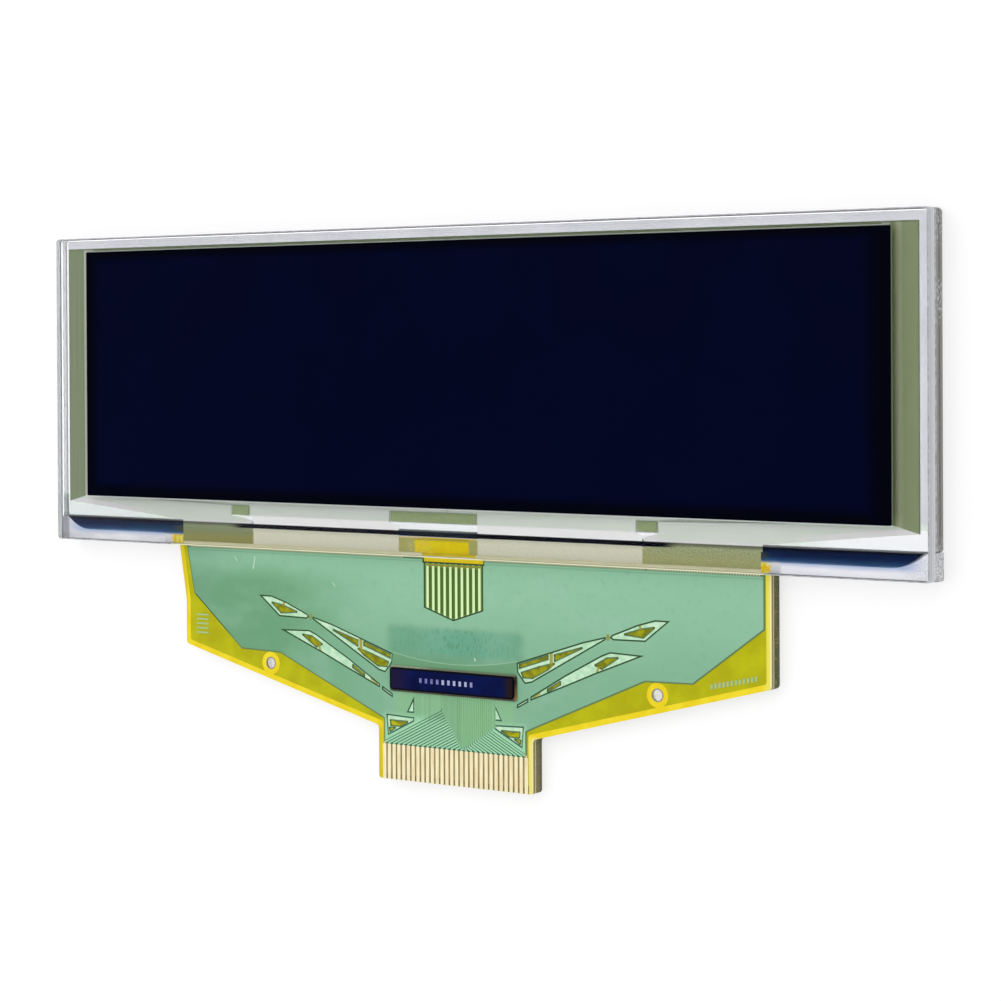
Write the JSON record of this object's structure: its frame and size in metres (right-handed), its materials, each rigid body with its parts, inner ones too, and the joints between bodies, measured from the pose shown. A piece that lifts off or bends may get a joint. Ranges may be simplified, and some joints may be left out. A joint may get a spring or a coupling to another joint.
{
  "type": "small oled module",
  "caption": "Flat graphic OLED panel: two bonded glass plates, dark polarizer, and a chip-on-film tail with contact fingers.",
  "frame": {"origin": "middle of the front glass's outline, on the rear face of the cap glass", "axes": "+Z out of the display, +X to the right along the panel, +Y to the top of the picture; the tail points to -Y"},
  "size_m": [0.088, 0.047, 0.0028],
  "materials": {
    "polarizer": "glossy, very dark blue",
    "front_glass": "polished float glass with cut edges",
    "clear_electrode": "clear conductive oxide",
    "organic_stack": "thin organic films",
    "row_metal": "mirror-like evaporated metal",
    "resist": "hard-baked resist",
    "column_lead_metal": "fine lines, tan from a distance",
    "olive_metal": "fine lines, olive from a distance",
    "test_pad_metal": "satin metal pads",
    "seal_resin": "pale cured resin",
    "drying_sheet": "white sheet",
    "cap_glass": "polished outside, etched inside",
    "blue_resin": "glossy dark blue resin",
    "milky_resin": "milky resin",
    "bond_adhesive": "film adhesive with metal grains",
    "polyimide": "bright yellow film",
    "film_glue": "olive-yellow adhesive layer",
    "film_copper": "etched foil",
    "finger_plating": "bright plated contacts",
    "tinned_copper": "tinned foil, pale green under a thin film",
    "ring_metal": "tinned ring",
    "mark_copper": "etched foil",
    "cover_coat": "satin green coat",
    "bump_metal": "plated bumps",
    "chip_resin": "dark brown resin fillet",
    "silicon": "polished dark blue silicon",
    "white_tape": "white double-sided tape",
    "dark_board": "dark olive laminate",
    "brown_board": "brown laminate"
  },
  "bodies": {
    "root": {"polarizer": "polarizer", "front_glass": "front_glass", "anode_columns": "clear_electrode", "organic_layers": "organic_stack", "cathode_rows": "row_metal", "row_ribs": "resist", "column_leads": "column_lead_metal", "row_leads_left": "olive_metal", "row_leads_right": "olive_metal", "top_bus": "olive_metal", "test_pads": "test_pad_metal", "seal_bead": "seal_resin", "desiccant_sheet": "drying_sheet", "rear_cap": "cap_glass", "ledge_resin": "blue_resin", "ledge_potting_left": "milky_resin", "ledge_potting_right": "milky_resin", "bond_adhesive": "bond_adhesive", "film_base": "polyimide", "film_adhesive": "film_glue", "segment_traces_left": "film_copper", "segment_traces_right": "film_copper", "input_leads": "film_copper", "finger_plating": "finger_plating", "centre_comb": "tinned_copper", "wing_islands_left": "tinned_copper", "wing_islands_right": "tinned_copper", "tail_islands": "tinned_copper", "hole_rings": "ring_metal", "corner_marks": "mark_copper", "cover_coat": "cover_coat", "chip_bumps": "bump_metal", "chip_resin": "chip_resin", "driver_chip": "silicon", "backing_tape": "white_tape", "backing_board": "dark_board", "tail_stiffener": "brown_board"}
  },
  "joints": []
}
